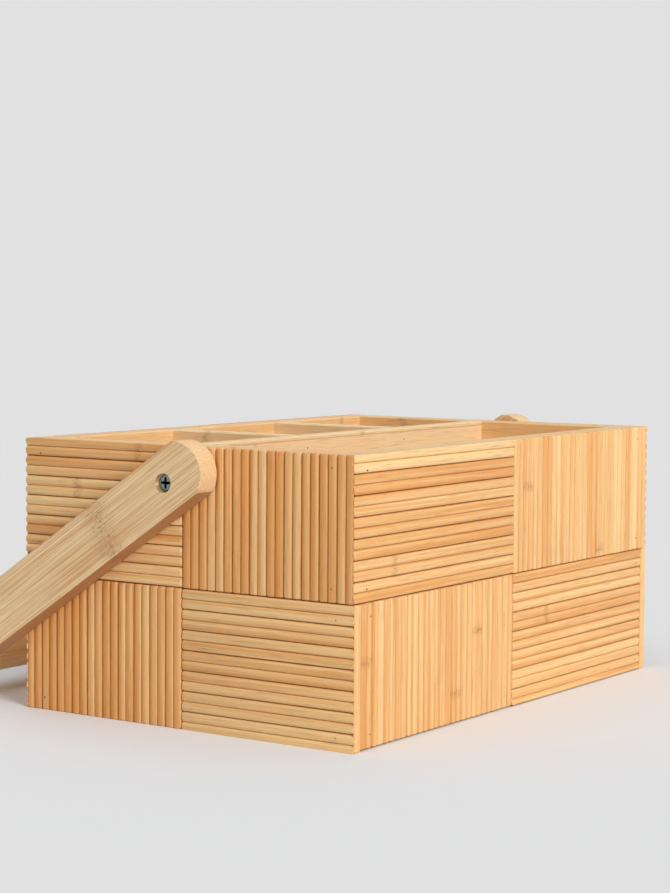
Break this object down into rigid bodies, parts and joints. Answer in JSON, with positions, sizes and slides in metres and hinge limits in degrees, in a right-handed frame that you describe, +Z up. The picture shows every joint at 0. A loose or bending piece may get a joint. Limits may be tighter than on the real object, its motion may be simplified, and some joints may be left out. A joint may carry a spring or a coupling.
{
  "type": "utensil caddy with drawer",
  "caption": "Rectangular slatted bamboo utensil caddy with divided open bays above a flush drawer and a swinging bail handle.",
  "frame": {"origin": "middle of the flat underside of the box, on the surface it stands on", "axes": "+X along the box to its right end, +Y to the back, away from the drawer's opening side, +Z up out of the bays"},
  "size_m": [0.326, 0.2743, 0.1414],
  "materials": {
    "reeded_slats": "satin",
    "wall_bamboo": "satin",
    "divider_bamboo": "satin",
    "inner_bamboo": "satin",
    "handle_bamboo": "satin",
    "steel": "brushed"
  },
  "bodies": {
    "carcass": {"end_wall_left": "wall_bamboo", "end_wall_right": "wall_bamboo", "back_wall": "wall_bamboo", "front_rail": "wall_bamboo", "floor_board": "inner_bamboo", "deck_board": "inner_bamboo", "drawer_stop": "inner_bamboo", "long_divider": "divider_bamboo", "cross_divider_left": "divider_bamboo", "cross_divider_right": "divider_bamboo", "corner_strip_left": "reeded_slats", "corner_strip_right": "reeded_slats", "front_tile_upper_left": "reeded_slats", "front_tile_upper_right": "reeded_slats", "right_tile_lower_left": "reeded_slats", "right_tile_lower_right": "reeded_slats", "right_tile_upper_left": "reeded_slats", "right_tile_upper_right": "reeded_slats", "back_tile_lower_left": "reeded_slats", "back_tile_lower_right": "reeded_slats", "back_tile_upper_left": "reeded_slats", "back_tile_upper_right": "reeded_slats", "left_tile_lower_left": "reeded_slats", "left_tile_lower_right": "reeded_slats", "left_tile_upper_left": "reeded_slats", "left_tile_upper_right": "reeded_slats", "pivot_screws": "steel", "pivot_washers": "steel"},
    "drawer": {"drawer_front": "wall_bamboo", "drawer_tile_left": "reeded_slats", "drawer_tile_right": "reeded_slats", "drawer_side_left": "inner_bamboo", "drawer_side_right": "inner_bamboo", "drawer_back": "inner_bamboo", "drawer_bottom": "inner_bamboo"},
    "handle": {"handle_arm_left": "handle_bamboo", "handle_arm_right": "handle_bamboo", "handle_grip": "handle_bamboo", "grip_screws": "steel"}
  },
  "joints": [
    {"name": "drawer_slide", "type": "slide", "parent": "carcass", "child": "drawer", "axis": [0, -1, 0], "range_m": [0, 0.147]},
    {"name": "handle_swing", "type": "hinge", "parent": "carcass", "child": "handle", "pos_m": [0, 0, 0.121], "axis": [-1, 0, 0], "range_deg": [-226, 0]}
  ]
}
